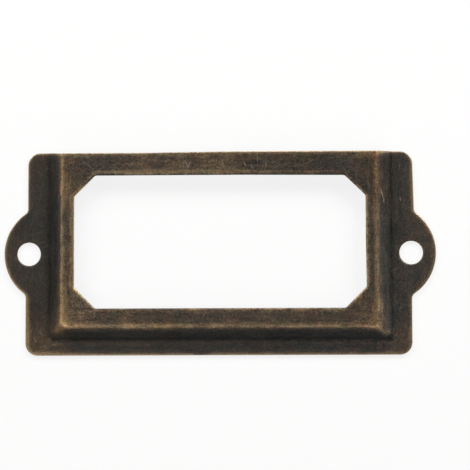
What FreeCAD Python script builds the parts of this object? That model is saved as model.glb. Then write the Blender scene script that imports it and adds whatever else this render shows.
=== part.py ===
import FreeCAD, Part
import math
import os

# A label holder for a drawer front, pressed from one flat blank of thin sheet.
# A shallow tray is drawn out of the sheet. Its floor is the face of the holder, a frame round the
# window. Sloping walls lead down from the face to a flat flange on the left, the right and the
# bottom, with a screw ear in the middle of each side. The top is left open, so that a paper label
# slides down behind the face.
# Millimetres. X runs across the holder, Y up the drawer front towards the open edge, and Z out of
# the drawer front. The origin is the middle of the flat back that lies on the drawer.

# The sheet
sheet = 0.5  # thickness

# The outline of the blank
width_over_ears = 70.0
height = 33.0
flange_corner_radius = 2.0
ear_reach = 3.82  # how far an ear stands out from the flange's edge
ear_radius = 7.9
ear_root_radius = 1.9  # hollow curve that leads from the flange's edge into the ear

# The drawn tray, measured on the upper skin where its planes would meet
side_flange = 3.41  # from the flange's edge to the crease at the foot of the wall
bottom_flange = 2.47
rise = 2.0  # from the flange to the face, which is also the room for the label
wall_run = 2.25  # the wall's width seen from the front
foot_bend_radius = 0.35  # inside of the bend from flange to wall, so on the upper skin
ridge_bend_radius = 0.5  # inside of the bend from wall to face, so on the under skin
hip_bend_radius = 1.0  # the same at the tray's lower corners, where two walls meet
draw_in = 0.27  # drawing the sheet pulls the face's open edge this far below the flanges' tops

# The face's rails, from the tray's edge to the window
side_rail = 1.87
bottom_rail = 2.78
top_rail = 3.91  # this one starts level with the top of the flanges
window_chamfer = 3.4  # the window's cut-off corners, along its sides
window_corner_radius = 0.35  # where a cut-off corner meets a side

# The screw holes
hole_to_ear_tip = 4.0  # from the hole's middle
hole_radius = 1.9

# Punching draws the sheet's upper edges down a little
outline_edge_round = 0.14
window_edge_round = 0.28
hole_edge_round = 0.2

# Blocks that only cut or trim reach this much past what they cut
overrun = 5.0

half_height = height / 2
half_flanges = width_over_ears / 2 - ear_reach
foot_x = half_flanges - side_flange
foot_y = bottom_flange - half_height
ridge_x = foot_x - wall_run
wall_angle = math.atan2(rise, wall_run)
half_window = ridge_x - side_rail
window_top = half_height - top_rail
window_bottom = foot_y + wall_run + bottom_rail
hole_x = width_over_ears / 2 - hole_to_ear_tip

# A bend keeps the sheet's thickness, so each plane of the under skin lies one sheet below the
# upper skin's, and where two of them meet moves inwards by this much.
skin_shift = sheet * math.tan(wall_angle / 2)


def rounded_outline(corners, z):
    """A closed wire at height z. Each corner is (x, y, radius of its rounding)."""
    edges = []
    arcs = []
    for index, (x, y, radius) in enumerate(corners):
        corner = FreeCAD.Vector(x, y, z)
        before = FreeCAD.Vector(corners[index - 1][0], corners[index - 1][1], z)
        after_index = (index + 1) % len(corners)
        after = FreeCAD.Vector(corners[after_index][0], corners[after_index][1], z)
        back = (before - corner).normalize()
        ahead = (after - corner).normalize()
        half_angle = back.getAngle(ahead) / 2
        start = corner + back * (radius / math.tan(half_angle))
        end = corner + ahead * (radius / math.tan(half_angle))
        inwards = (back + ahead).normalize()
        middle = corner + inwards * (radius / math.sin(half_angle) - radius)
        arcs.append((start, middle, end))
    for index, (start, middle, end) in enumerate(arcs):
        edges.append(Part.Arc(start, middle, end).toShape())
        edges.append(Part.LineSegment(end, arcs[(index + 1) % len(arcs)][0]).toShape())
    return Part.Wire(edges)


def profile_block(points, along):
    """A closed profile of straight lines, pushed along a vector to a solid."""
    wire = Part.makePolygon([FreeCAD.Vector(*point) for point in points + points[:1]])
    return Part.Face(wire).extrude(along)


def sharp_tray(inset, skin):
    """The tray with sharp edges, standing on height skin. It runs past the open edge.

    One profile gives the two side walls and is pushed along Y. The other gives the bottom wall
    and is pushed along X. The tray is what they share.
    """
    x = foot_x - inset
    low = foot_y + inset
    high = half_height + overrun
    face = skin + rise
    across = [
        (-x, low, skin),
        (x, low, skin),
        (x - wall_run, low, face),
        (-x + wall_run, low, face),
    ]
    upwards = [
        (-x, low, skin),
        (-x, high, skin),
        (-x, high, face),
        (-x, low + wall_run, face),
    ]
    side_walls = profile_block(across, FreeCAD.Vector(0, high - low, 0))
    bottom_wall = profile_block(upwards, FreeCAD.Vector(2 * x, 0, 0))
    return side_walls.common(bottom_wall)


def level_edges(shape, z, half_width):
    """The edges round the tray at height z, no further out than half_width, less the far end's."""
    found = []
    for edge in shape.Edges:
        box = edge.BoundBox
        level = abs(box.ZMin - z) < 1e-4 and abs(box.ZMax - z) < 1e-4
        on_tray = max(abs(box.XMin), abs(box.XMax)) < half_width + 1e-3
        at_far_end = box.YMin > half_height
        if level and on_tray and not at_far_end:
            found.append(edge)
    return found


def hip_edges(tray):
    """The two edges where the bottom wall meets the side walls."""
    found = []
    for edge in tray.Edges:
        box = edge.BoundBox
        if min(box.XLength, box.YLength, box.ZLength) > wall_run / 2:
            found.append(edge)
    return found


def formed_block(skin, hip_radius, ridge_radius, foot_radius):
    """Everything below a skin of the formed sheet, which lies at height skin on the flange."""
    inset = (sheet - skin) / sheet * skin_shift
    size_x = width_over_ears + 2 * overrun
    size_y = height + 4 * overrun
    corner = FreeCAD.Vector(-size_x / 2, -size_y / 2, -overrun)
    slab = Part.makeBox(size_x, size_y, skin + overrun, corner)
    tray = sharp_tray(inset, skin)
    tray = tray.makeFillet(hip_radius, hip_edges(tray))
    ridge = level_edges(tray, skin + rise, foot_x - inset - wall_run)
    tray = tray.makeFillet(ridge_radius, ridge)
    block = slab.fuse(tray).removeSplitter()
    foot = level_edges(block, skin, foot_x - inset)
    return block.makeFillet(foot_radius, foot)


def blank():
    """The outline of the sheet, as a tall block: a plate with a round ear on each side.

    Its top edge is straight along each flange and along the face, and slants across the walls.
    """
    bottom = -overrun
    tall = sheet + rise + 2 * overrun
    plate_wire = rounded_outline(
        [
            (-half_flanges, -half_height, flange_corner_radius),
            (half_flanges, -half_height, flange_corner_radius),
            (half_flanges, half_height, flange_corner_radius),
            (foot_x, half_height, flange_corner_radius),
            (ridge_x, half_height - draw_in, flange_corner_radius),
            (-ridge_x, half_height - draw_in, flange_corner_radius),
            (-foot_x, half_height, flange_corner_radius),
            (-half_flanges, half_height, flange_corner_radius),
        ],
        bottom,
    )
    plate = Part.Face(plate_wire).extrude(FreeCAD.Vector(0, 0, tall))
    ear_centre = width_over_ears / 2 - ear_radius
    for side in (-1, 1):
        ear = Part.makeCylinder(ear_radius, tall, FreeCAD.Vector(side * ear_centre, 0, bottom))
        plate = plate.fuse(ear)
    plate = plate.removeSplitter()
    ear_roots = []
    for edge in plate.Edges:
        box = edge.BoundBox
        upright = box.ZLength > tall / 2
        at_flange = abs(abs(edge.CenterOfMass.x) - half_flanges) < 1e-4
        by_the_ear = abs(edge.CenterOfMass.y) < ear_radius
        if upright and at_flange and by_the_ear:
            ear_roots.append(edge)
    return plate.makeFillet(ear_root_radius, ear_roots)


def window():
    """The window, as a tall block to cut away: a rectangle with its corners cut off at 45 degrees."""
    x = half_window
    cut = window_chamfer
    corners = [
        (-x, window_bottom + cut),
        (-x + cut, window_bottom),
        (x - cut, window_bottom),
        (x, window_bottom + cut),
        (x, window_top - cut),
        (x - cut, window_top),
        (-x + cut, window_top),
        (-x, window_top - cut),
    ]
    wire = rounded_outline([(px, py, window_corner_radius) for px, py in corners], -overrun)
    return Part.Face(wire).extrude(FreeCAD.Vector(0, 0, sheet + rise + 2 * overrun))


def screw_hole(side):
    """The hole in one ear, as a tall block to cut away."""
    foot = FreeCAD.Vector(side * hole_x, 0, -overrun)
    return Part.makeCylinder(hole_radius, sheet + 2 * overrun, foot)


def skin_normal_z(face, point):
    """How far up a face looks at a point: 1 is straight up, 0 is level, under 0 is down."""
    u, v = face.Surface.parameter(point)
    return face.normalAt(u, v).z


def upper_punched_edges(solid):
    """The edges where an upright punched wall meets the upper skin, by what was punched."""
    found = {"hole": [], "window": [], "outline": []}
    for edge in solid.Edges:
        middle = edge.valueAt((edge.FirstParameter + edge.LastParameter) / 2)
        faces = solid.ancestorsOfType(edge, Part.Face)
        looks_up = [skin_normal_z(face, middle) for face in faces]
        if len(faces) != 2 or min(map(abs, looks_up)) > 1e-6 or max(looks_up) < 1e-3:
            continue
        from_hole = math.hypot(abs(middle.x) - hole_x, middle.y)
        in_window = abs(middle.x) < half_window + 1e-3 and (
            window_bottom - 1e-3 < middle.y < window_top + 1e-3
        )
        if from_hole < hole_radius + 1e-3:
            found["hole"].append(edge)
        elif in_window:
            found["window"].append(edge)
        else:
            found["outline"].append(edge)
    return found


def label_holder():
    """The pressed sheet: what lies between its two skins, cut to the blank and punched."""
    upper = formed_block(
        sheet,
        hip_bend_radius + sheet,
        ridge_bend_radius + sheet,
        foot_bend_radius,
    )
    under = formed_block(0.0, hip_bend_radius, ridge_bend_radius, foot_bend_radius + sheet)
    solid = upper.cut(under).common(blank())
    solid = solid.cut([window(), screw_hole(-1), screw_hole(1)])
    for name, radius in (
        ("outline", outline_edge_round),
        ("window", window_edge_round),
        ("hole", hole_edge_round),
    ):
        solid = solid.makeFillet(radius, upper_punched_edges(solid)[name])
    return solid


os.makedirs("parts", exist_ok=True)
holder = label_holder().Solids[0]
holder.exportStep("parts/label_holder.step")
print("label_holder", holder.ShapeType, "solids", len(holder.Solids), "valid", holder.isValid())
print("volume mm3", round(holder.Volume, 2), "box", holder.BoundBox)
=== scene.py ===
import math
from types import SimpleNamespace

import bpy
import numpy as np
from bpy.props import FloatProperty, FloatVectorProperty, PointerProperty
from bpy.types import NodeSocket, Operator, Panel, PropertyGroup
from mathutils import Euler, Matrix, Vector


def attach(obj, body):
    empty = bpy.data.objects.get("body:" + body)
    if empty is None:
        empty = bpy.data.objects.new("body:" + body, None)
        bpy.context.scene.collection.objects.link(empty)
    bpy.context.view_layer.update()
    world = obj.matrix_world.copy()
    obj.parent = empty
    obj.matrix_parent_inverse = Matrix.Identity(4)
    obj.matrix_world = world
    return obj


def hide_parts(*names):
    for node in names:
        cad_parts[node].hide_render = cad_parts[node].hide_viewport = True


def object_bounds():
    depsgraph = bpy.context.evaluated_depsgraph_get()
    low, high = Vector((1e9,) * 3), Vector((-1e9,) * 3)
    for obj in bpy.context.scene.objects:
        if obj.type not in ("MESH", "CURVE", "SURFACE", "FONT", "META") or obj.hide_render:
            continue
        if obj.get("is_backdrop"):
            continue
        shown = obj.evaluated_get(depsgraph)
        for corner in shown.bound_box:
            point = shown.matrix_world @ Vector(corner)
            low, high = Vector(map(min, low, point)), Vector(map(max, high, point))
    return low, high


bl_info = {
    "name": "Drawer label holder",
    "version": (1, 0, 0),
    "blender": (4, 5, 0),
    "location": "View3D > Sidebar > Label holder",
    "description": "A pressed label holder in rubbed antique brass, and a stage to look at it on",
    "category": "Object",
}

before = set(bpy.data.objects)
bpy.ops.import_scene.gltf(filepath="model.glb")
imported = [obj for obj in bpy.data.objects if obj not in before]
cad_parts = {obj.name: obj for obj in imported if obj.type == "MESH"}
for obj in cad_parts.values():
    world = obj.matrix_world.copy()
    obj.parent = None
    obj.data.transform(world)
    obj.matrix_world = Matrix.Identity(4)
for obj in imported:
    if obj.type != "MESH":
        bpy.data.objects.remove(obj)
CAD_LOW, CAD_HIGH = (list(corner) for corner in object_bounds())

MM = 0.001

# The solid's width, height and depth, and the sheet's thickness, in millimetres
CAD_SIZE = [(high - low) / MM for low, high in zip(CAD_LOW, CAD_HIGH)]
SHEET = 0.5

# How finely the sheet is divided, in cells
BEND_CELLS = 7
WALL_CELLS = 9
FLANGE_CELLS = 28
CORNER_CELLS = 9
RAIL_CELLS = 9
MIDDLE_CELLS = 44
RING_CELLS = 5
ROLL_CELLS = 4

# Cells of the flange's columns that are kept whole beside a screw hole's ring
HOLE_MARGIN_INNER = 2
HOLE_MARGIN_OUTER = 3

# Half the height of the block of rows round a screw hole's ring, in radii of the ring
HOLE_BLOCK = 1.3

# Points along each arc of the window's outline
ARC_POINTS = 40

# Edges that turn by more than this stay sharp
SHARP_ANGLE = math.radians(35)

# Low waves left in the sheet: waves per metre across and up, and a start in turns
SHEET_WAVES = ((31.0, 23.0, 0.13), (-47.0, 38.0, 0.71), (14.0, -67.0, 0.37), (83.0, 29.0, 0.55))

# Places where the finish differs from the rest: x, y and radius in millimetres, how much more it
# is rubbed, and how much warmer its brown is
SPOTS = (
    (-29.5, -14.5, 3.6, 0.18, 0.05),
    (-28.0, -15.8, 4.0, 0.04, 0.25),
    (-31.0, -11.0, 3.0, 0.0, 0.06),
    (-29.1, -8.0, 3.5, -0.05, 0.1),
    (-32.8, 0.0, 4.0, 0.05, 0.2),
    (-34.5, -1.0, 2.0, -0.05, 0.0),
    (-28.0, 0.5, 2.0, 0.05, 0.0),
    (-30.5, -6.0, 3.0, -0.03, 0.1),
    (-29.5, 13.5, 3.0, 0.02, 0.22),
    (-26.0, -3.0, 3.5, 0.0, 0.13),
    (-26.0, -9.0, 3.5, 0.0, 0.2),
    (-25.3, 13.0, 3.5, 0.0, 0.22),
    (-25.0, 1.5, 3.0, -0.07, 0.0),
    (-24.5, 4.0, 5.0, -0.04, 0.0),
    (-23.4, 10.3, 1.8, 0.18, 0.1),
    (-22.5, 14.0, 3.5, -0.05, 0.0),
    (-23.5, -10.0, 3.5, 0.23, 0.04),
    (-24.0, -11.4, 1.4, -0.1, 0.0),
    (-26.8, -11.8, 0.9, 0.12, 0.1),
    (-23.0, -13.3, 2.0, -0.09, 0.0),
    (-21.6, -8.2, 1.5, 0.0, -0.3),
    (-14.6, -11.4, 2.6, 0.14, 0.1),
    (-9.0, -11.7, 3.0, 0.0, 0.2),
    (5.0, -11.5, 3.0, 0.02, 0.0),
    (21.0, -11.7, 3.0, 0.0, 0.15),
    (-17.0, 14.1, 1.8, -0.07, 0.0),
    (-12.0, 12.6, 3.5, 0.07, 0.0),
    (-11.3, 14.1, 2.5, 0.05, 0.0),
    (-10.0, 15.0, 6.0, 0.05, 0.0),
    (-4.0, 15.2, 2.0, 0.1, 0.1),
    (-1.5, 13.2, 2.6, 0.1, 0.1),
    (1.0, 12.7, 2.5, 0.16, 0.0),
    (4.1, 15.3, 3.0, -0.16, 0.2),
    (14.0, 12.6, 5.0, -0.03, 0.0),
    (13.5, 15.4, 4.5, 0.0, 0.3),
    (17.0, 14.5, 7.0, -0.14, 0.0),
    (19.5, 12.5, 1.5, -0.1, 0.0),
    (26.0, 14.5, 3.5, -0.12, 0.0),
    (24.5, 16.0, 2.0, 0.06, 0.3),
    (25.8, 11.0, 4.5, 0.0, 0.28),
    (24.0, 4.0, 5.0, -0.05, 0.0),
    (26.8, 3.0, 2.5, -0.09, 0.0),
    (26.1, 9.6, 1.8, -0.03, 0.15),
    (26.1, 6.4, 1.8, 0.0, 0.12),
    (24.2, 6.5, 2.4, 0.0, -0.25),
    (29.6, 11.5, 2.6, 0.0, -0.15),
    (27.0, 6.0, 4.0, 0.05, 0.0),
    (22.5, -7.5, 2.5, 0.06, 0.0),
    (24.3, -9.6, 3.2, 0.12, 0.1),
    (27.25, -13.0, 0.5, 0.25, 0.0),
    (27.6, -13.9, 0.6, -0.3, 0.0),
    (33.5, 0.0, 5.0, 0.17, 0.0),
    (30.5, -3.0, 2.8, -0.04, -0.1),
    (27.3, -2.0, 2.4, 0.0, 0.15),
    (24.3, -1.5, 2.4, 0.0, -0.25),
    (29.5, -8.0, 4.0, 0.04, -0.1),
    (30.0, -14.0, 3.4, 0.2, 0.0),
    (-3.5, -15.2, 2.5, 0.0, -0.15),
    (20.0, -15.2, 3.5, 0.0, -0.25),
)

# Places where the blank's edge is rubbed more or less than the rest, given in the same way
EDGE_SPOTS = (
    (-31.0, 10.5, 5.0, -0.33),
    (-34.5, 0.0, 4.5, -0.15),
    (-31.2, -11.0, 5.0, 0.6),
    (-20.0, 16.5, 4.5, -0.16),
    (-8.0, 16.5, 5.0, -0.1),
    (0.0, 16.5, 4.0, -0.12),
    (8.0, 16.5, 4.0, -0.12),
    (23.7, 16.5, 1.8, 0.5),
    (31.4, 9.0, 4.5, 0.16),
    (31.2, -10.0, 4.0, -0.24),
    (34.5, 0.0, 4.0, -0.15),
    (-3.2, -16.5, 1.5, -0.3),
)

# Wear, grime and painted shade on the bottom, left and right wall. Places are in millimetres
# inwards from a wall's upper or lower line, seen from the front, and widths in millimetres.
WALL_WEAR_AND_SHADE = {
    "ridge rubbing": (0.34, 0.31, 0.31),
    "ridge place": (0.0, 0.08, 0.22),
    "ridge width outwards": (0.5, 0.55, 0.45),
    "ridge width inwards": (0.57, 0.77, 0.37),
    # Painted shade: how much darker the middle of each slope is made, the bottom and left ones
    # most
    "slope painted shade": (0.15, 0.13, 0.01),
    "crease place": (0.14, 0.02, 0.02),
    "crease grime": (0.3, 0.3, 0.45),
}

# Wear on the face along the window's edge: how strong it is, how far in from the edge it is
# strongest and how wide it is in millimetres, and how much more the very edge is rubbed
WINDOW_WEAR = {
    "below": (0.14, 0.33, 0.38, 0.0),
    "left": (0.5, 0.29, 0.42, 0.18),
    "right": (0.36, 0.21, 0.36, 0.0),
    "above, left": (0.5, 0.55, 0.24, -0.05),
    "above, right": (0.3, 0.55, 0.24, 0.25),
}

# How far from each form its wear or grime fades
EDGE_FADE = 0.3 * MM
BORDER_FADE = 0.62 * MM
LIP_FADE = 0.3 * MM
RIM_FADE = 0.25 * MM
HIP_FADE = 0.8 * MM
CREASE_FADE = 0.3 * MM
SIDE_FOOT_DARK_FADE = 1.0 * MM
UNDER_BEND_FADE = 0.6 * MM
TOP_COOL_FADE = 0.9 * MM
EDGE_COOL_FADE = 0.45 * MM

# Widths over which the wear passes from the bottom wall to a side wall, and from below or over
# the window to beside it, and over which the face's grain turns at the window's corners
WALL_TURN = 2 * MM
WINDOW_TURN = 1 * MM
GRAIN_TURN = 3 * MM

# In shares of the wall's width: where up the wall a hip is rubbed most and how far that fades,
# and how far the painted shade on the wall's middle fades
HIP_PLACE = 0.7
HIP_SPREAD = 0.45
SLOPE_SHADE_SPREAD = 0.5

# Painted light: the flange is lightened in a strip along the bottom wall's foot, where the wall
# casts its shadow
FOOT_LIGHT_PLACE = 0.5 * MM
FOOT_LIGHT_FADE = 0.45 * MM

# Sizes of the finish's patterns in millimetres, along the grain and across it. Clouds, streaks
# and tints are as large as the real ones. The real grain is about a fifth of this one, which is
# too fine to show.
CLOUD_SIZE = (3.5, 3.5)
STREAK_SIZE = (2.6, 0.4)
GRAIN_SIZE = (0.25, 0.25)
TINT_SIZE = 1.6

# How much each pattern counts for, in how far the patina is rubbed and in how light the colour is
MOTTLING = {"cloud": 0.6, "streaks": 0.65, "grain": 0.45}
SPECKLE = {"grain": 2.0, "streaks": 0.3}

# Fine scratches: their directions in degrees from +X, length and width. Real ones are a fifth as
# wide, which is too fine to show.
SCRATCH_TURNS = (78, 24, -41)
SCRATCH_RUN = 3.0 * MM
SCRATCH_WIDTH = 0.11 * MM

# The levels of their noise where a scratch starts to show and where it is full, and how bright
# one is then
SCRATCH_FAINT = 0.68
SCRATCH_FULL = 0.78
SCRATCH_STRENGTH = 0.25

# Nicks that show bare metal: x, y and length in millimetres, direction in degrees from +X, and
# how bright they are. The core, full bright, takes this share of a nick's width.
NICK_WIDTH = 0.28 * MM
NICK_CORE = 0.4
NICKS = (
    (-5.3, 14.4, 1.5, 108, 0.4),
    (-4.9, 14.1, 1.7, 68, 0.45),
    (4.2, 14.3, 1.2, 118, 0.3),
    (5.3, 13.9, 1.0, 115, 0.28),
    (6.2, 15.3, 2.0, 90, 0.2),
    (7.6, 14.2, 1.5, 84, 0.22),
    (0.6, 14.4, 1.6, 86, 0.2),
    (26.3, 9.5, 2.2, 105, 0.35),
    (26.6, 8.4, 0.8, 90, 0.3),
    (29.3, 8.7, 0.9, 95, 0.3),
    (-22.4, -10.2, 3.4, 91, 0.15),
    (-20.1, -10.0, 1.8, 80, 0.2),
    (-12.2, -12.1, 0.9, 10, 0.4),
    (-2.4, -10.0, 1.4, 62, 0.25),
    (-29.9, -14.0, 1.2, -55, 0.2),
    (-28.3, -15.1, 1.0, -25, 0.15),
    (-30.6, -12.6, 1.4, 70, 0.15),
    (-26.8, -14.7, 1.2, 20, 0.15),
    (-29.0, -12.8, 1.0, 118, 0.15),
    (-27.8, -15.9, 1.4, 5, 0.15),
)

# How much the patterns' finer parts count, and the levels of the tints' noise that give one cast
# and the other
PATTERN_ROUGHNESS = 0.65
TINT_LEVELS = (0.35, 0.65)

# The tone, from deepest patina to bare brass, at which each colour of the finish lies
TONES = {"grime": 0.0, "patina": 0.36, "worn": 0.6, "brass": 1.0}

# How much darker packed grime makes the tone, and depth and strength of the grain's relief
GRIME_DEPTH = 0.5
GRAIN_DEPTH = 0.02 * MM
GRAIN_STRENGTH = 0.35

# Roughness of patina, which holds up to this tone, and of bare brass, and how far the finish is
# metal, since patina is part oxide
PATINA_ROUGHNESS = 0.6
PATINA_TONE = 0.2
BRASS_ROUGHNESS = 0.38
METAL_SHARE = 0.85

# The cool and warm casts darken what they tint to about this share, which is given back after them
CAST_LEVEL = 0.84

# Square softboxes, so far from the holder and so wide in metres: lean from straight up and
# bearing from +X in degrees, and share of the lamps' power
SOFTBOX_DISTANCE = 0.42
SOFTBOX_WIDTH = 0.18
SOFTBOXES = (
    ("back_softbox", 60, 90, 0.7),
    ("back_right_softbox", 60, 45, 1.05),
    ("back_left_softbox", 60, 135, 0.75),
    ("left_card", 60, 180, 0.2),
    ("right_card", 78, 0, 0.24),
    ("front_left_card", 30, 225, 0.31),
    ("front_card", 60, 270, 0.21),
    ("front_right_card", 60, 315, 0.17),
)

# The floor lies this far under the back, so that they share no plane
FLOOR_GAP = 0.02 * MM

# How much of the paper is plain full white, for each kind of ray that reaches it
PAPER_WHITE = {"Is Camera Ray": 0.8, "Is Glossy Ray": 0.7, "Is Transmission Ray": 0.7}


def linear(hex_colour):
    """The linear red, green and blue of an sRGB hex colour."""
    levels = [int(hex_colour[at : at + 2], 16) / 255 for at in (1, 3, 5)]
    return [v / 12.92 if v <= 0.04045 else ((v + 0.055) / 1.055) ** 2.4 for v in levels]


def length(name, millimetres, description):
    """A length in the panel."""
    return FloatProperty(
        name=name,
        description=description,
        default=millimetres * MM,
        min=0.0,
        precision=5,
        unit="LENGTH",
    )


def amount(name, share, description):
    """A share from 0 to 1 in the panel."""
    return FloatProperty(
        name=name,
        description=description,
        default=share,
        min=0.0,
        max=1.0,
        precision=3,
    )


def colour(name, hex_colour, description):
    """A colour in the panel."""
    return FloatVectorProperty(
        name=name,
        description=description,
        default=linear(hex_colour),
        min=0.0,
        max=1.0,
        subtype="COLOR",
    )


class HolderSizes(PropertyGroup):
    """The sizes of the pressed sheet.

    The main ones are the solid's. The slips in edges and corners are this one piece's own.
    """

    width_over_ears: length("Width over ears", CAD_SIZE[0], "Ear tip to ear tip")
    height: length("Height", CAD_SIZE[1], "Bottom edge to the open edge")
    sheet: length("Sheet", SHEET, "Thickness of the sheet")
    flange_corner: length("Flange corner", 2.0, "Radius of the flange's corners")
    ear_reach: length("Ear reach", 3.82, "How far an ear stands out from the flange's edge")
    ear_radius: length("Ear radius", 8.05, "Radius of an ear")
    ear_root: length("Ear root", 1.0, "Radius of the hollow that leads into an ear")
    low_left_out: length("Low left edge", 0.34, "How far the flange's lower left edge stands out")
    low_right_in: length("Low right edge", 0.08, "How far its lower right edge lies in")
    high_right_out: length("High right edge", 0.32, "How far its upper right edge stands out")
    high_right_lean: length("High right lean", 0.45, "How much less it does so at the corner")
    side_flange: length("Side flange", 3.41, "Flange's edge to the foot of the side wall")
    bottom_flange: length("Bottom flange", 2.47, "Flange's edge to the foot of the bottom wall")
    rise: length("Rise", CAD_SIZE[2] - SHEET, "Flange to face")
    wall_run: length("Wall run", 2.25, "A side wall's width seen from the front")
    bottom_run: length("Bottom wall run", 2.12, "The bottom wall's width seen from the front")
    foot_bend: length("Foot bend", 0.35, "Radius on the upper skin where the wall starts")
    ridge_bend: length("Ridge bend", 1.0, "Radius on the upper skin where the wall meets the face")
    hip: length("Hip", 1.0, "Radius, seen from the front, of the corner where two walls meet")
    draw_in: length("Draw-in", 0.25, "How far the face's open edge lies below the flanges' tops")
    draw_lean: length("Draw-in lean", 0.14, "How much less it does so on the right")
    side_rail: length("Side rail", 1.87, "Face between the side wall and the window")
    bottom_rail: length("Bottom rail", 2.91, "Face between the bottom wall and the window")
    top_rail: length("Top rail", 3.91, "Flanges' tops to the window")
    chamfer: length("Chamfer", 3.4, "The window's cut-off corners, along its sides")
    window_corner: length("Window corner", 0.5, "Radius where a cut-off corner meets a side")
    window_left_in: length("Window left", 0.16, "How far the window's left side lies in")
    window_lean: length("Window lean", 0.15, "How far its lower right corner lies out")
    window_sag: length("Window sag", 0.12, "How far its upper right corner lies low")
    hole_to_tip: length("Hole to tip", 4.0, "Middle of a screw hole to the ear's tip")
    hole_radius: length("Hole radius", 1.9, "Radius of a screw hole")
    outline_roll: length("Outline roll", 0.16, "Width of the outline's punched-over edge")
    outline_drop: length("Outline drop", 0.14, "Depth of the outline's punched-over edge")
    window_roll: length("Window roll", 0.4, "Width of the window's punched-over edge")
    window_drop: length("Window drop", 0.2, "Depth of the window's punched-over edge")
    hole_roll: length("Hole roll", 0.22, "Width of a screw hole's punched-over edge")
    hole_drop: length("Hole drop", 0.2, "Depth of a screw hole's punched-over edge")
    break_back: length("Break", 0.03, "How far the torn half of a punched wall lies back")
    unevenness: length("Unevenness", 0.03, "Height of the low waves left in the sheet")


class HolderColours(PropertyGroup):
    """The colours of the finish, from the deepest patina to bare rubbed brass."""

    grime: colour("Grime", "#232322", "Patina packed into the creases")
    patina: colour("Patina", "#42403d", "Brown-black patina on the flat sheet")
    worn: colour("Worn patina", "#5f5348", "Patina rubbed thin")
    brass: colour("Rubbed brass", "#ab9372", "Brass laid bare on bends and edges")
    scratch: colour("Scratches", "#c0b5a2", "Fresh metal in the fine scratches and nicks")
    reddish: colour("Reddish cast", "#fff3f0", "Tints the finish where it has turned reddish")
    greenish: colour("Greenish cast", "#f3faf3", "Tints the finish where it has turned greenish")
    cool: colour("Cool cast", "#dfe9fb", "Tints the finish where its brown is coolest")
    warm: colour("Warm cast", "#ffebd2", "Tints the finish where its brown is warmest")


class HolderWear(PropertyGroup):
    """How far the finish is rubbed, soiled and scuffed, with one painted light. Each amount adds
    to the others.
    """

    even_rub: amount("Rubbing", 0.35, "Rubbing all over the front")
    face_rub: amount("Face rubbing", 0.165, "Added on the face")
    hip_rub: amount("Hip rubbing", 0.4, "Added where two walls meet")
    # Painted light, lifting the shadow that the bottom wall casts on the flange
    foot_painted_light: amount("Foot painted light", 0.13, "Added on the flange along the bottom wall's foot")
    edge_rub: amount("Edge rubbing", 0.4, "Added on the blank's very edge")
    border_rub: amount("Border rubbing", 0.36, "Added in a border along the blank's edge")
    rim_rub: amount("Rim rubbing", 0.1, "Added round the screw holes")
    under_rub: amount("Back rubbing", 0.33, "Rubbing all over the back")
    under_bend_rub: amount("Back bend rubbing", 0.15, "Added on the back, at the walls' foot")
    # Darker near the side walls' foot, fading away from it up the wall and over the flange
    side_foot_darkening: amount("Side foot darkening", 0.12, "Darkening that fades away from the side walls' foot")
    under_grime: amount("Back grime", 0.3, "Grime on the back, in the hollow of the ridge")
    left_scuff: amount("Left flange pattern", 0.45, "Strength of the fine pattern")
    right_scuff: amount("Right flange pattern", 0.65, "Strength of the fine pattern")
    face_scuff: amount("Face pattern", 0.85, "Strength of the fine pattern")
    top_scuff: amount("Top rail pattern", 0.25, "Added over the window")
    ridge_scuff: amount("Ridge pattern", 0.1, "Taken away on the ridge")
    window_scuff: amount("Window pattern", 0.9, "Added along the window, times its rubbing")
    spot_scuff: amount("Spot pattern", 0.8, "Added in rubbed spots, times their rubbing")
    top_spot_scuff: amount("Top spot pattern", 0.8, "Added to that over the window")
    even_warmth: amount("Warmth", 0.5, "Warmth of the brown")
    ridge_warmth: amount("Ridge warmth", 0.12, "Added on the right ridge")
    top_coolness: amount("Top coolness", 0.2, "Taken away over the window's edge")
    bottom_coolness: amount("Bottom coolness", 0.12, "Taken away on the bottom flange")
    edge_coolness: amount("Edge coolness", 0.3, "Taken away on the blank's edge")


class StageSettings(PropertyGroup):
    """The camera, the lamps and the floor."""

    view_distance: length("Camera distance", 400.0, "Camera to the middle of the back")
    view_width: length("View width", 76.26, "Width the frame covers at the flange")
    view_tilt: FloatProperty(
        name="Tilt",
        description="The view's tilt about the holder's long axis",
        default=math.radians(-4.9),
        subtype="ANGLE",
    )
    view_pan: FloatProperty(
        name="Pan",
        description="The view's turn about the holder's short axis",
        default=math.radians(-2.1),
        subtype="ANGLE",
    )
    view_roll: FloatProperty(
        name="Roll",
        description="The view's turn about its own axis",
        default=math.radians(0.26),
        subtype="ANGLE",
    )
    shift_x: FloatProperty(
        name="Shift across",
        description="Shift of the frame across, in frame widths",
        default=0.0326,
        precision=4,
    )
    shift_y: FloatProperty(
        name="Shift up",
        description="Shift of the frame up, in frame widths",
        default=0.0396,
        precision=4,
    )
    lamp_power: FloatProperty(
        name="Lamps",
        description="Power of the large softbox, which the others follow",
        default=1.0,
        min=0.0,
        unit="POWER",
    )
    room_level: FloatProperty(
        name="Room",
        description="Level of the light from all round",
        default=0.02,
        min=0.0,
    )
    floor_width: length("Floor", 6000.0, "Side of the square floor")
    floor_colour: colour("Floor colour", "#f4f4f2", "Matt white paper")


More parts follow.
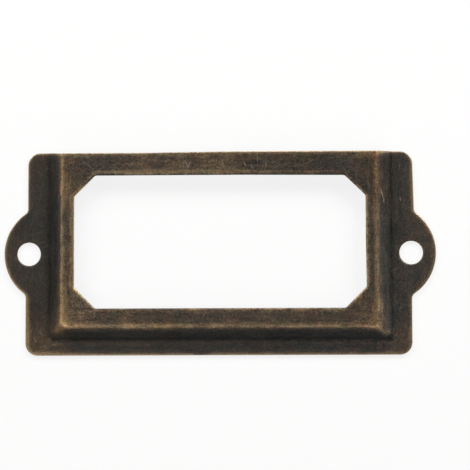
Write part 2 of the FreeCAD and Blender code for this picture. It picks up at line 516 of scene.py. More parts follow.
def holder_plan(s):
    """The holder's sizes as plain numbers, with those that follow from them.

    The origin is the middle of the back. The open edge looks along +Y.
    """
    p = SimpleNamespace(**{name: getattr(s, name) for name in s.__annotations__})
    p.half_height = p.height / 2
    p.half_flanges = p.width_over_ears / 2 - p.ear_reach
    p.ear_x = p.width_over_ears / 2 - p.ear_radius
    p.foot_x = p.half_flanges - p.side_flange
    p.foot_y = p.bottom_flange - p.half_height
    p.ridge_x = p.foot_x - p.wall_run
    p.ridge_y = p.foot_y + p.bottom_run
    p.squeeze = p.bottom_run / p.wall_run
    p.slope = math.atan2(p.rise, p.wall_run)
    p.foot_run = p.foot_bend * math.tan(p.slope / 2)
    p.ridge_run = p.ridge_bend * math.tan(p.slope / 2)
    p.half_window = p.ridge_x - p.side_rail
    p.window_top = p.half_height - p.top_rail
    p.window_bottom = p.ridge_y + p.bottom_rail
    p.hole_x = p.width_over_ears / 2 - p.hole_to_tip
    return p


def half_plan(p, side):
    """The sizes for one half, -1 for the left and 1 for the right, as it was really punched.

    The die stood a little askew, so that some edges lie further out or in than on the drawing.
    """
    half = SimpleNamespace(**vars(p))
    half.low_out = p.low_left_out if side < 0 else -p.low_right_in
    half.high_out = p.high_right_out * (side > 0)
    half.high_lean = p.high_right_lean * (side > 0)
    half.half_window -= p.window_left_in * (side < 0)
    half.window_lean *= side > 0
    return half


def tray_depth(x, y, p):
    """How far inside the line of the tray's foot a point lies, seen from the front.

    It is the smaller of a = foot_x - |x| and b = y - foot_y, and b is stretched to give the
    bottom wall the side walls' run. Near the corner, where |a - b| is under r, a circle of
    radius r rounds the line: (a + b + sqrt(2 r^2 - (a - b)^2)) / 2 - r.
    """
    a = p.foot_x - np.abs(x)
    b = (y - p.foot_y) / p.squeeze
    root = np.sqrt(np.maximum(2 * p.hip**2 - (a - b) ** 2, 0))
    return np.where(np.abs(a - b) < p.hip, (a + b + root) / 2 - p.hip, np.minimum(a, b))


def section_height(depth, p):
    """Height of the upper skin at a depth into the tray.

    Level flange, hollow arc, straight wall, crown arc and level face follow each other. At a
    distance t from its level end, an arc of radius r is r - sqrt(r^2 - t^2) off the level.
    """
    top = p.sheet + p.rise
    in_foot = np.clip(depth + p.foot_run, 0, p.foot_bend)
    in_ridge = np.clip(p.wall_run + p.ridge_run - depth, 0, p.ridge_bend)
    foot = p.sheet + p.foot_bend - np.sqrt(p.foot_bend**2 - in_foot**2)
    wall = p.sheet + depth * math.tan(p.slope)
    ridge = top - p.ridge_bend + np.sqrt(p.ridge_bend**2 - in_ridge**2)
    return np.select(
        [
            depth < p.foot_run * math.cos(p.slope),
            depth < p.wall_run - p.ridge_run * math.cos(p.slope),
        ],
        [foot, wall],
        ridge,
    )


def sheet_wave(x, y):
    """Low waves of the sheet, from 0 to 1: the mean of a few slanting cosine waves."""
    waves = [np.cos(2 * math.pi * (a * x + b * y + c)) for a, b, c in SHEET_WAVES]
    return (1 + sum(waves) / len(waves)) / 2


def upper_height(x, y, p):
    """The section's height, with waves that lift the flange and sink the face."""
    level = section_height(tray_depth(x, y, p), p)
    share = (level - p.sheet) / p.rise
    return level + p.unevenness * sheet_wave(x, y) * (1 - 2 * share)


def skins(x, y, p):
    """The upper skin (x, y, height), and the under skin one sheet down its normal.

    The normal is (-dz/dx, -dz/dy, 1) made one long, with the slopes taken over a small step.
    """
    step = 0.002 * MM
    slope_x = (upper_height(x + step, y, p) - upper_height(x - step, y, p)) / (2 * step)
    slope_y = (upper_height(x, y + step, p) - upper_height(x, y - step, p)) / (2 * step)
    normal = np.stack([-slope_x, -slope_y, np.ones_like(x)], -1)
    normal /= np.linalg.norm(normal, axis=-1, keepdims=True)
    upper = np.stack([x, y, upper_height(x, y, p)], -1)
    return upper, upper - p.sheet * normal


def flange_edge(y, p):
    """How far one half of the flange reaches at height y.

    Below the ear it is a step out or in. Above it, it also leans in, about a pivot.
    """
    pivot = 0.4
    up = np.clip(y / p.half_height, 0, 1)
    high_out = p.high_out + p.high_lean * (pivot - up)
    return p.half_flanges + np.where(y < 0, p.low_out, high_out)


def blank_reach(y, inset, p):
    """How far one half of the blank reaches at height y, with its edge moved in by inset.

    Corner, root and ear are arcs of circles: x = centre +- sqrt(radius^2 - y^2). The root's arc
    touches the ear's and the flange's edge.
    """
    half_flanges = flange_edge(y, p)
    reach = p.ear_radius + p.ear_root
    root_y = np.sqrt(reach**2 - (half_flanges + p.ear_root - p.ear_x) ** 2)
    y = np.abs(y)
    corner_y = p.half_height - p.flange_corner
    ear = np.sqrt(np.maximum((p.ear_radius - inset) ** 2 - y**2, 0))
    root = np.sqrt(np.maximum((p.ear_root + inset) ** 2 - (y - root_y) ** 2, 0))
    corner = np.sqrt(np.maximum((p.flange_corner - inset) ** 2 - (y - corner_y) ** 2, 0))
    ear_ends = root_y * (p.ear_radius - inset) / reach
    return np.select(
        [y < ear_ends, y < root_y, y < corner_y],
        [p.ear_x + ear, half_flanges + p.ear_root - root, half_flanges - inset],
        half_flanges - p.flange_corner + corner,
    )


def window_breaks(outset, p):
    """The plan points where the window's right half turns, with its edge moved out by outset.

    From the bottom up: ends of the arc at the bottom side, ends of the arc at the right side,
    and the same mirrored at the top. Each arc turns by an eighth of a circle.
    """
    radius = p.window_corner + outset
    tangent = radius * math.tan(math.pi / 8)
    slant = tangent * math.sqrt(0.5)
    cut = p.chamfer - outset * (math.sqrt(2) - 1)
    side = p.half_window + outset
    bottom = p.window_bottom - outset
    top = p.window_top + outset
    low_x = p.half_window - cut
    low_y = p.window_bottom + cut
    high_y = p.window_top - cut
    return [
        (low_x - tangent, bottom),
        (low_x + slant, bottom + slant),
        (side - slant, low_y - slant),
        (side, low_y + tangent),
        (side, high_y - tangent),
        (side - slant, high_y + slant),
        (low_x + slant, top - slant),
        (low_x - tangent, top),
    ]


def window_reach(y, outset, p):
    """Half the window's width at height y, with its edge moved out by outset.

    It is read off a path of straight sides and of arcs (centre + radius (sin t, -cos t)), and
    below the middle it leans out in proportion to the distance from the middle.
    """
    breaks = window_breaks(outset, p)
    radius = p.window_corner + outset
    turn = np.linspace(0, math.pi / 4, ARC_POINTS)
    low_arc = np.stack([np.sin(turn), -np.cos(turn)], -1) * radius
    side_arc = np.stack([np.sin(turn + math.pi / 4), -np.cos(turn + math.pi / 4)], -1) * radius
    low_arc += np.array(breaks[0]) + [0, radius]
    side_arc += np.array(breaks[3]) - [radius, 0]
    lower = np.concatenate([low_arc, side_arc])
    middle = (p.window_top + p.window_bottom) / 2
    upper = np.stack([lower[::-1, 0], 2 * middle - lower[::-1, 1]], -1)
    path = np.concatenate([lower, upper])
    below = np.clip((middle - y) / (middle - p.window_bottom), 0, 1)
    return np.interp(y, path[:, 1], path[:, 0]) + p.window_lean * below


def grid_lines(breaks, cells):
    """Grid lines through the breaks, evenly spaced between each two."""
    runs = [
        np.linspace(start, end, count, endpoint=False)
        for start, end, count in zip(breaks, breaks[1:], cells)
    ]
    return np.concatenate([*runs, np.asarray(breaks[-1])[None]])


def row_heights(p):
    """Heights of the grid's rows, and the numbers of those that bound the window and the holes.

    The rows at the flange's corners are spaced like the sine of an angle, as their arcs need.
    """
    turn = np.linspace(0, math.pi / 2, CORNER_CELLS + 1)[1:]
    corner_y = p.half_height - p.flange_corner
    corner = corner_y + (p.flange_corner - p.outline_roll) * np.sin(turn)
    window = [y for _, y in window_breaks(p.window_roll, p)]
    hole = HOLE_BLOCK * (p.hole_radius + p.hole_roll)
    # Where each run of rows starts, from the bottom up, and its number of cells
    runs = [
        (-corner_y, 3),
        (p.foot_y - p.squeeze * p.foot_run, BEND_CELLS),
        (p.foot_y + p.squeeze * p.foot_run * math.cos(p.slope), WALL_CELLS),
        (p.ridge_y - p.squeeze * p.ridge_run * math.cos(p.slope), BEND_CELLS),
        (p.ridge_y + p.squeeze * p.ridge_run, 8),
        *zip(window[:4], (3, 14, 3, 9)),
        (-hole, 18),
        (hole, 26),
        *zip(window[4:], (3, 10, 3, 6)),
        (corner_y, 0),
    ]
    breaks, cells = zip(*runs)
    rows = np.concatenate([-corner[::-1], grid_lines(breaks, cells), corner])
    numbers = [int(np.argmin(np.abs(rows - y))) for y in (window[0], window[-1], -hole, hole)]
    return rows, numbers


def column_positions(rows, p):
    """How far each column of one half stands from the middle, for every row.

    Middle, window to ridge, ridge bend, wall, foot bend and flange each take a share of the
    columns, and each share is stretched between its two breaks in that row.
    """
    window = window_reach(rows, p.window_roll, p)
    flange = blank_reach(rows, p.outline_roll, p)
    ridge_in = p.ridge_x - p.ridge_run
    ridge_out = p.ridge_x + p.ridge_run * math.cos(p.slope)
    foot_in = p.foot_x - p.foot_run * math.cos(p.slope)
    foot_out = p.foot_x + p.foot_run
    level = np.ones_like(rows)
    breaks = [0 * level, window, ridge_in * level, ridge_out * level]
    breaks += [foot_in * level, foot_out * level, flange]
    cells = [MIDDLE_CELLS, RAIL_CELLS, BEND_CELLS, WALL_CELLS, BEND_CELLS, FLANGE_CELLS]
    return np.stack(grid_lines(np.stack(breaks), cells), -1)


def open_edge_pull(x, p):
    """How far the open edge lies below the flanges' tops.

    It is drawn down by draw_in along the face, and from the middle on by draw_lean less. It
    rises to the flanges' tops over the width of a wall as a smooth step 3 t^2 - 2 t^3.
    """
    t = np.clip((np.abs(x) - p.ridge_x) / p.wall_run, 0, 1)
    to_right = np.clip(1 + x / (p.half_window / 2), 0, 1)
    return (p.draw_in - p.draw_lean * to_right) * (1 - t * t * (3 - 2 * t))


def top_sag(x, y, p):
    """How far the window's top edge lies low at a point of the face.

    Across, it grows from near the middle to the window's upper right corner and ends with the
    corner. Upwards, it grows over a tenth of the holder's height, up to the top edge.
    """
    corner = p.half_window - p.chamfer
    across = np.interp(x, [corner / 5, corner, p.half_window], [0, 1, 0])
    reach = p.half_height / 5
    return p.window_sag * across * np.clip(1 + (y - p.window_top) / reach, 0, 1)


def settle_rows(x, y, p):
    """Rows moved so that they follow the window's top edge and the open edge."""
    start = p.window_top + p.window_roll
    share = np.clip((y - start) / (p.half_height - p.outline_roll - start), 0, 1)
    return y - open_edge_pull(x, p) * share - top_sag(x, y, p) * (1 - share)


def block_loop(index, rows, columns):
    """Vertex numbers round a block of a grid, anticlockwise from above, each once."""
    low, high = rows
    left, right = columns
    return np.concatenate(
        [
            index[low, left:right],
            index[low:high, right],
            index[high, right:left:-1],
            index[high:low:-1, left],
        ]
    )


def quads(index):
    """The four-sided faces of a grid of vertex numbers, anticlockwise from above."""
    corners = [index[:-1, :-1], index[:-1, 1:], index[1:, 1:], index[1:, :-1]]
    return np.stack(corners, -1).reshape(-1, 4)


def hole_ring(loop, centre, radius):
    """Plan points between a loop round a screw hole and the hole's own circle.

    At share s a point is (1 - s) times the loop's point plus s times the point of the circle
    that lies in the same direction from the centre.
    """
    away = loop - centre
    circle = centre + radius * away / np.linalg.norm(away, axis=-1, keepdims=True)
    share = np.linspace(0, 1, RING_CELLS + 1)[1:, None, None]
    return (1 - share) * loop + share * circle


def punched_edge(upper, under, roll, drop, p):
    """The rows of a punched edge, its profile carried along a closed loop with the sheet on
    the left.

    The profile turns down in a quarter of an ellipse, roll wide and drop deep, runs straight
    down the sheared half of the wall and slants back over the torn half.
    """
    ahead = np.roll(upper, -1, 0) - np.roll(upper, 1, 0)
    outward = np.stack([ahead[:, 1], -ahead[:, 0], 0 * ahead[:, 0]], -1)
    outward /= np.linalg.norm(outward, axis=-1, keepdims=True)
    down = np.array([0, 0, -1])
    turn = np.linspace(0, math.pi / 2, ROLL_CELLS + 1)[1:, None, None]
    rolled = upper + roll * np.sin(turn) * outward + drop * (1 - np.cos(turn)) * down
    foot = under + (roll - p.break_back) * outward
    sheared = (rolled[-1] + under + roll * outward) / 2
    return np.concatenate([rolled, sheared[None], foot[None]])


class SheetMesh:
    """Collects the points and faces of the one closed sheet."""

    def __init__(self):
        self.points = []
        self.faces = []
        self.count = 0

    def add(self, points):
        """Adds an array of points and gives the array of their numbers."""
        index = self.count + np.arange(points[..., 0].size).reshape(points.shape[:-1])
        self.points.append(points.reshape(-1, 3))
        self.count += index.size
        return index

    def close_edge(self, upper_loop, under_loop, roll, drop, p):
        """Adds a punched edge between the same loop on the two skins."""
        points = np.concatenate(self.points)
        rows = punched_edge(points[upper_loop], points[under_loop], roll, drop, p)
        index = np.concatenate([upper_loop[None], self.add(rows), under_loop[None]])
        index = np.concatenate([index, index[:, :1]], 1)
        self.faces.append(quads(index)[:, ::-1])

    def used(self):
        """The points that a face uses, and the faces numbered for them."""
        faces = np.concatenate(self.faces)
        kept, faces = np.unique(faces, return_inverse=True)
        return np.concatenate(self.points)[kept], faces.reshape(-1, 4)


def pressed_sheet(p):
    """The closed mesh of the pressed and punched sheet.

    A grid of rows and columns covers the blank. Its block inside the window is left out, and
    the block round each screw hole becomes a ring. Both skins use the same grid, and a punched
    edge joins them along every loop.
    """
    rows, (window_low, window_high, hole_low, hole_high) = row_heights(p)
    left, right = (column_positions(rows, half_plan(p, side)) for side in (-1, 1))
    x = np.concatenate([-left[:, :0:-1], right], 1)
    y = settle_rows(x, np.broadcast_to(rows[:, None], x.shape), p)
    sheet = SheetMesh()
    upper, under = (sheet.add(skin) for skin in skins(x, y, p))

    middle = right.shape[1] - 1
    last = x.shape[1] - 1
    window = (window_low, window_high), (middle - MIDDLE_CELLS, middle + MIDDLE_CELLS)
    inner, outer = last - FLANGE_CELLS + HOLE_MARGIN_INNER, last - HOLE_MARGIN_OUTER
    holes = {
        -1: ((hole_low, hole_high), (last - outer, last - inner)),
        1: ((hole_low, hole_high), (inner, outer)),
    }
    keep = np.ones((len(rows) - 1, last), bool)
    for (low, high), (start, end) in (window, *holes.values()):
        keep[low:high, start:end] = False
    sheet.faces.append(quads(upper)[keep.ravel()])
    sheet.faces.append(quads(under)[keep.ravel()][:, ::-1])

    everything = (0, len(rows) - 1), (0, last)
    loops = [block_loop(index, *everything) for index in (upper, under)]
    sheet.close_edge(*loops, p.outline_roll, p.outline_drop, p)
    loops = [block_loop(index, *window)[::-1] for index in (upper, under)]
    sheet.close_edge(*loops, p.window_roll, p.window_drop, p)
    for side, hole in holes.items():
        loops = [block_loop(index, *hole) for index in (upper, under)]
        loop = np.stack([x.ravel(), y.ravel()], -1)[block_loop(upper, *hole)]
        ring = hole_ring(loop, np.array([side * p.hole_x, 0]), p.hole_radius + p.hole_roll)
        ends = []
        for first, skin, order in zip(loops, skins(ring[..., 0], ring[..., 1], p), (1, -1)):
            index = np.concatenate([first[None], sheet.add(skin)])
            sheet.faces.append(quads(np.concatenate([index, index[:, :1]], 1))[:, ::order])
            ends.append(index[-1, ::-1])
        sheet.close_edge(*ends, p.hole_roll, p.hole_drop, p)
    points, faces = sheet.used()
    points[:, 1] = np.clip(points[:, 1], -p.half_height, p.half_height)
    return points, faces


def edge_distances(points, side, p):
    """How far each point lies from the outline, the window's edge and a screw hole's edge.

    They are seen from the front and for one half, -1 or 1. The outline is measured straight
    across and straight up or down, and the smaller is taken, which is right at all but the
    rounded corners.
    """
    p = half_plan(p, side)
    x, y = np.abs(points[:, 0]), points[:, 1]
    blank_side = blank_reach(np.clip(y, -p.half_height, p.half_height), 0.0, p) - x
    ends = p.half_height - open_edge_pull(side * x, p) * (y > 0)
    blank_end = np.where(x < flange_edge(y, p), ends - np.abs(y), p.half_height)
    outline = np.maximum(np.minimum(blank_side, blank_end), 0)
    hole = np.abs(np.hypot(x - p.hole_x, y) - p.hole_radius)
    y = y + top_sag(side * x, y, p)
    inside = np.clip(y, p.window_bottom, p.window_top)
    across = np.maximum(x - window_reach(inside, 0.0, p), 0)
    return outline, np.hypot(across, y - inside), hole


def bell(distance, width):
    """A bell curve exp(-(distance / width)^2)."""
    return np.exp(-((distance / width) ** 2))


def share_past(distance, width):
    """How far a point is over a line: 0.5 + distance / width, held between 0 and 1."""
    return np.clip(0.5 + distance / width, 0, 1)


def spots_at(x, y, spots):
    """What a table of spots adds at each point: for each amount, the sum of it times a bell."""
    near = [bell(np.hypot(x - row[0] * MM, y - row[1] * MM), row[2] * MM) for row in spots]
    return np.array([row[3:] for row in spots]).T @ np.stack(near)


def places_on_form(points, p):
    """Where each point lies on the pressed form, seen from the front.

    front says that it is on the upper skin. depth is how far it lies inside the tray's foot, and
    face how far it has come up onto the face. from_hip is how much nearer a side wall is than
    the bottom one, which by_side turns into a share from 0, the bottom one, to 1. outline,
    window and hole are its distances from those edges. past_corner is how much further it lies
    out from the window sideways than up or down. beside and over say that it lies beside or over
    the window, above that it is higher than the window's top, and to_right how far right it is.
    """
    x, y, z = points.T
    at = SimpleNamespace(x=x, y=y, depth=tray_depth(x, y, p))
    at.front = z > upper_height(x, y, p) - p.sheet / 2
    at.from_hip = (y - p.foot_y) / p.squeeze - (p.foot_x - np.abs(x))
    at.by_side = share_past(at.from_hip, WALL_TURN)
    at.face = 2 * np.clip(at.depth / p.wall_run - 0.5, 0, 0.5)
    halves = [edge_distances(points, side, p) for side in (-1, 1)]
    at.outline, at.window, at.hole = (np.where(x < 0, *pair) for pair in zip(*halves))
    middle = (p.window_bottom + p.window_top) / 2
    up = np.abs(y - middle) - (p.window_top - p.window_bottom) / 2
    at.past_corner = np.abs(x) - p.half_window - up
    at.beside = share_past(at.past_corner, WINDOW_TURN)
    at.over = np.clip(-at.past_corner / p.chamfer, 0, 1) * (y > middle)
    at.above = share_past(y - p.window_top, WINDOW_TURN)
    at.to_right = np.clip(x / p.half_window, 0, 1)
    return at


def wall_value(name, at):
    """A value of the walls' table at each point, mixed where the bottom and a side wall meet."""
    bottom, left, right = WALL_WEAR_AND_SHADE[name]
    return bottom + (np.where(at.x < 0, left, right) - bottom) * at.by_side


def window_rub(at):
    """How far the face is rubbed along the window's edge.

    The values for below the window are moved towards those for its other sides by how far a
    point lies there. They shape a bell beside the edge and one on the very edge.
    """
    left = (1 - np.sign(at.x) * at.by_side) / 2
    shares = [at.beside * left, at.beside * (1 - left)]
    shares += [at.over * (1 - at.to_right), at.over * at.to_right]
    below, *others = (np.array(row)[:, None] for row in WINDOW_WEAR.values())
    values = below + sum((other - below) * share for other, share in zip(others, shares))
    strength, place, width, lip = values
    return strength * bell(at.window - place * MM, width * MM) + lip * bell(at.window, LIP_FADE)


def wear(points, p, w):
    """The finish at each point, as a table of values from 0 to 1.

    rub says how far it has been rubbed, and grime how much it has kept: each is a sum of bells
    round the forms that tumbling reaches or misses. Ridge, hips, edges and corners are rubbed, and
    the crease at the wall's foot keeps its grime. rub also holds painted shade, lower on the
    middle of each wall's slope, and painted light, higher on the flange along the bottom wall's
    foot.
    grime is also higher near the side walls' foot, which makes it darker there. upright says that
    the face's grain runs up and not across, scuff how strong the fine pattern is, warmth how warm
    the brown is, and front that the point is on the upper skin. The under skin is rubbed evenly,
    and only its edges and its own outward bend, at the walls' foot, are rubbed more.
    """
    at = places_on_form(points, p)
    past_ridge = at.depth - p.wall_run - wall_value("ridge place", at) * MM
    outwards = wall_value("ridge width outwards", at)
    inwards = wall_value("ridge width inwards", at)
    ridge = bell(past_ridge, np.where(past_ridge < 0, outwards, inwards) * MM)
    hip = bell(at.from_hip, HIP_FADE) * bell(at.depth / p.wall_run - HIP_PLACE, HIP_SPREAD)
    # Painted shade: the middle of each wall's slope is darkened through a lower rub
    slope = bell(at.depth / p.wall_run - 0.5, SLOPE_SHADE_SPREAD)
    crease = bell(at.depth - wall_value("crease place", at) * MM, CREASE_FADE) * (1 - hip)
    # Painted light on the bottom flange along the wall's foot, where the wall's shadow falls
    foot_light_strip = bell(at.depth + FOOT_LIGHT_PLACE, FOOT_LIGHT_FADE) * (1 - at.by_side)
    # Darker near the side walls' foot, fading away from it up the wall and over the flange
    darker_by_side_foot = np.exp(-np.abs(at.depth) / SIDE_FOOT_DARK_FADE) * (at.depth < p.wall_run) * at.by_side
    more, warmer = spots_at(at.x, at.y, SPOTS)
    (more_edge,) = spots_at(at.x, at.y, EDGE_SPOTS)
    window = window_rub(at)
    edge = w.edge_rub * bell(at.outline, EDGE_FADE) + w.rim_rub * bell(at.hole, RIM_FADE)
    edge += (w.border_rub + more_edge) * bell(at.outline, BORDER_FADE)

    rub_and_painted_light = w.even_rub + w.face_rub * at.face + w.hip_rub * hip + w.foot_painted_light * foot_light_strip
    # The slopes' painted shade is taken off the rub here
    rub_and_painted_light += wall_value("ridge rubbing", at) * ridge - wall_value("slope painted shade", at) * slope
    rub_and_painted_light += window + more + edge
    under_rub = w.under_rub + w.under_bend_rub * bell(at.depth, UNDER_BEND_FADE) + edge
    grime = wall_value("crease grime", at) * crease + w.side_foot_darkening * darker_by_side_foot
    scuff = w.left_scuff + (w.right_scuff - w.left_scuff) * at.to_right
    scuff += (w.face_scuff - scuff + w.top_scuff * at.above) * at.face - w.ridge_scuff * ridge
    scuff += (w.spot_scuff + w.top_spot_scuff * at.above) * np.maximum(more, 0)
    scuff += w.window_scuff * window
    warmth = w.even_warmth + warmer + w.ridge_warmth * ridge * (at.x > 0) * (at.by_side > 0)
    warmth -= w.top_coolness * at.over * bell(at.window, TOP_COOL_FADE)
    warmth -= w.bottom_coolness * (at.depth < 0) * (1 - at.by_side)
    warmth -= w.edge_coolness * bell(at.outline, EDGE_COOL_FADE)
    finish = {
        "rub_and_painted_light": np.where(at.front, rub_and_painted_light, under_rub),
        "grime": np.where(at.front, grime, w.under_grime * ridge),
        "upright": share_past(at.past_corner, GRAIN_TURN),
        "scuff": scuff,
        "warmth": warmth,
        "front": at.front * 1.0,
    }
    return {name: np.clip(values, 0, 1) for name, values in finish.items()}


def new_object(name, points, faces, material):
    """A mesh object of that name in the scene, smooth but for its sharp edges."""
    mesh = bpy.data.meshes.new(name)
    mesh.from_pydata(points.tolist(), [], faces.tolist())
    mesh.update()
    mesh.shade_smooth()
    mesh.set_sharp_from_angle(angle=SHARP_ANGLE)
    mesh.materials.append(material)
    made = bpy.data.objects.new(name, mesh)
    bpy.context.scene.collection.objects.link(made)
    return made


def store(mesh, name, values):
    """Writes one number for each vertex into an attribute of the mesh."""
    layer = mesh.attributes.new(name, "FLOAT", "POINT")
    layer.data.foreach_set("value", values.astype(np.float32))


def add(tree, kind, settings=None, stops=(), **inputs):
    """Adds a node. Settings go on the node; an input is a value or the socket linked to it.

    An input is named as on the node, with _ for a space, or numbered as in_0, in_1 and so on.
    Stops are the places and linear colours along a colour ramp.
    """
    node = tree.nodes.new(kind)
    for name, value in (settings or {}).items():
        setattr(node, name, value)
    for number, (place, shade) in enumerate(stops):
        elements = node.color_ramp.elements
        stop = elements[number] if number < 2 else elements.new(place)
        stop.position = place
        stop.color = (*shade, 1.0)
    for name, value in inputs.items():
        key = int(name[3:]) if name.startswith("in_") else name.replace("_", " ")
        if isinstance(value, NodeSocket):
            tree.links.new(value, node.inputs[key])
        else:
            node.inputs[key].default_value = value
    return node


def empty_material(name):
    """A material with nothing in it but its output. Gives the node tree and the output too."""
    material = bpy.data.materials.new(name)
    material.use_nodes = True
    tree = material.node_tree
    tree.nodes.clear()
    return material, tree, add(tree, "ShaderNodeOutputMaterial")


def weighted_sum(tree, terms):
    """The sum of socket times weight over the terms."""
    total = None
    for socket, weight in terms:
        if total is None:
            node = add(tree, "ShaderNodeMath", {"operation": "MULTIPLY"}, in_0=socket, in_1=weight)
        else:
            settings = {"operation": "MULTIPLY_ADD"}
            node = add(tree, "ShaderNodeMath", settings, in_0=socket, in_1=weight, in_2=total)
        total = node.outputs[0]
    return total


def antique_brass(c):
    """Antique brass: brass plate on pressed steel, blackened in a sulphide bath and tumbled.

    The bath leaves a cloudy brown-black patina with a dull sheen. Tumbling rubs it off the
    bends and edges, where warm brass shows, and speckles the flat parts with fine light nicks. The
    rubbing it reads also holds painted shade on the walls' slopes and painted light on the flange
    along the bottom wall.
    """
    material, tree, output = empty_material("antique_brass_blackened_and_tumbled")
    place = add(tree, "ShaderNodeTexCoord").outputs["Object"]
    rub_and_painted_light, grime, upright, scuff, warmth, front = (
        add(tree, "ShaderNodeAttribute", {"attribute_name": name}).outputs["Fac"]
        for name in ("rub_and_painted_light", "grime", "upright", "scuff", "warmth", "front")
    )

    # The patterns are noises drawn out to their sizes. The streaks run along each rail.
    cloud, across, up, grain = (
        add(
            tree,
            "ShaderNodeTexNoise",
            Vector=add(
                tree,
                "ShaderNodeMapping",
                {"vector_type": "TEXTURE"},
                Vector=place,
                Scale=(size_x * MM, size_y * MM, 1.0 * MM),
            ).outputs["Vector"],
            Scale=1.0,
            Detail=2.0,
            Roughness=PATTERN_ROUGHNESS,
        ).outputs["Fac"]
        for size_x, size_y in (CLOUD_SIZE, STREAK_SIZE, STREAK_SIZE[::-1], GRAIN_SIZE)
    )
    streaks = add(tree, "ShaderNodeMix", in_0=upright, in_2=across, in_3=up).outputs[0]
    patterns = {"cloud": cloud, "streaks": streaks, "grain": grain}
    mottling, speckle = (
        add(
            tree,
            "ShaderNodeMath",
            {"operation": "MULTIPLY"},
            in_0=add(
                tree,
                "ShaderNodeMath",
                {"operation": "SUBTRACT"},
                in_0=weighted_sum(tree, [(patterns[name], share) for name, share in mix.items()]),
                in_1=sum(mix.values()) / 2,
            ).outputs[0],
            in_1=scuff,
        ).outputs[0]
        for mix in (MOTTLING, SPECKLE)
    )

    # Scratches are the crests of noises drawn out in a few directions, and follow the scuffing.
    crests = []
    for turn in SCRATCH_TURNS:
        drawn_out = add(
            tree,
            "ShaderNodeMapping",
            {"vector_type": "TEXTURE"},
            Vector=place,
            Rotation=(0.0, 0.0, math.radians(turn)),
            Scale=(SCRATCH_RUN, SCRATCH_WIDTH, SCRATCH_WIDTH),
        ).outputs["Vector"]
        noise = add(tree, "ShaderNodeTexNoise", Vector=drawn_out, Scale=1.0, Detail=1.0)
        crest = add(
            tree,
            "ShaderNodeMapRange",
            Value=noise.outputs["Fac"],
            From_Min=SCRATCH_FAINT,
            From_Max=SCRATCH_FULL,
        )
        crests.append((crest.outputs[0], SCRATCH_STRENGTH))
    scratches = add(
        tree,
        "ShaderNodeMath",
        {"operation": "MULTIPLY"},
        in_0=weighted_sum(tree, crests),
        in_1=scuff,
    ).outputs[0]

    # A nick is an ellipse of bare metal that fades towards its border. The back has no marks.
    marks = [(scratches, 1.0)]
    for x, y, run, turn, brightness in NICKS:
        inside = add(
            tree,
            "ShaderNodeMapping",
            {"vector_type": "TEXTURE"},
            Vector=place,
            Location=(x * MM, y * MM, 0.0),
            Rotation=(0.0, 0.0, math.radians(turn)),
            Scale=(run / 2 * MM, NICK_WIDTH / 2, 1.0),
        ).outputs["Vector"]
        off = add(tree, "ShaderNodeVectorMath", {"operation": "LENGTH"}, in_0=inside).outputs[1]
        nick = add(tree, "ShaderNodeMapRange", Value=off, From_Min=1.0, From_Max=NICK_CORE)
        marks.append((nick.outputs[0], brightness))
    bare = add(
        tree,
        "ShaderNodeMath",
        {"operation": "MULTIPLY"},
        in_0=weighted_sum(tree, marks),
        in_1=front,
    ).outputs[0]

    # The colour runs from grime to bare brass as the patina is rubbed, and with the painted shade
    # and light that the rubbing holds, tinted in small patches of two casts and by how warm the
    # brown is.
    tone = weighted_sum(tree, [(rub_and_painted_light, 1.0), (grime, -GRIME_DEPTH), (mottling, 1.0)])
    stops = [(place, getattr(c, name)) for name, place in TONES.items()]
    base = add(tree, "ShaderNodeValToRGB", stops=stops, Fac=tone).outputs["Color"]
    patches = add(
        tree, "ShaderNodeTexNoise", Vector=place, Scale=1 / (TINT_SIZE * MM), Detail=2.0
    ).outputs["Fac"]
    low, high = TINT_LEVELS
    patches = add(
        tree, "ShaderNodeMapRange", Value=patches, From_Min=low, From_Max=high
    ).outputs[0]
    casts = [(0.0, c.reddish), (1.0, c.greenish)]
    heats = [(0.0, c.cool), (0.5, [CAST_LEVEL] * 3), (1.0, c.warm)]
    for factor, stops in ((patches, casts), (warmth, heats)):
        tint = add(tree, "ShaderNodeValToRGB", stops=stops, Fac=factor).outputs["Color"]
        settings = {"data_type": "RGBA", "blend_type": "MULTIPLY"}
        base = add(tree, "ShaderNodeMix", settings, in_0=1.0, in_6=base, in_7=tint).outputs[2]
    level = add(tree, "ShaderNodeMath", {"operation": "ADD"}, in_0=speckle, in_1=1.0).outputs[0]
    level = add(
        tree, "ShaderNodeMath", {"operation": "DIVIDE"}, in_0=level, in_1=CAST_LEVEL
    ).outputs[0]
    base = add(
        tree, "ShaderNodeVectorMath", {"operation": "SCALE"}, in_0=base, Scale=level
    ).outputs[0]
    base = add(
        tree,
        "ShaderNodeMix",
        {"data_type": "RGBA"},
        in_0=bare,
        in_6=base,
        in_7=(*c.scratch, 1.0),
    ).outputs[2]

    # Rubbed brass is smoother than patina, and the grain stands up a little.
    roughness = add(
        tree,
        "ShaderNodeMapRange",
        Value=tone,
        From_Min=PATINA_TONE,
        To_Min=PATINA_ROUGHNESS,
        To_Max=BRASS_ROUGHNESS,
    ).outputs[0]
    bump = add(
        tree, "ShaderNodeBump", Height=grain, Strength=GRAIN_STRENGTH, Distance=GRAIN_DEPTH
    ).outputs["Normal"]
    shader = add(
        tree,
        "ShaderNodeBsdfPrincipled",
        Base_Color=base,
        Roughness=roughness,
        Metallic=METAL_SHARE,
        Normal=bump,
    )
    tree.links.new(shader.outputs[0], output.inputs["Surface"])
    return material


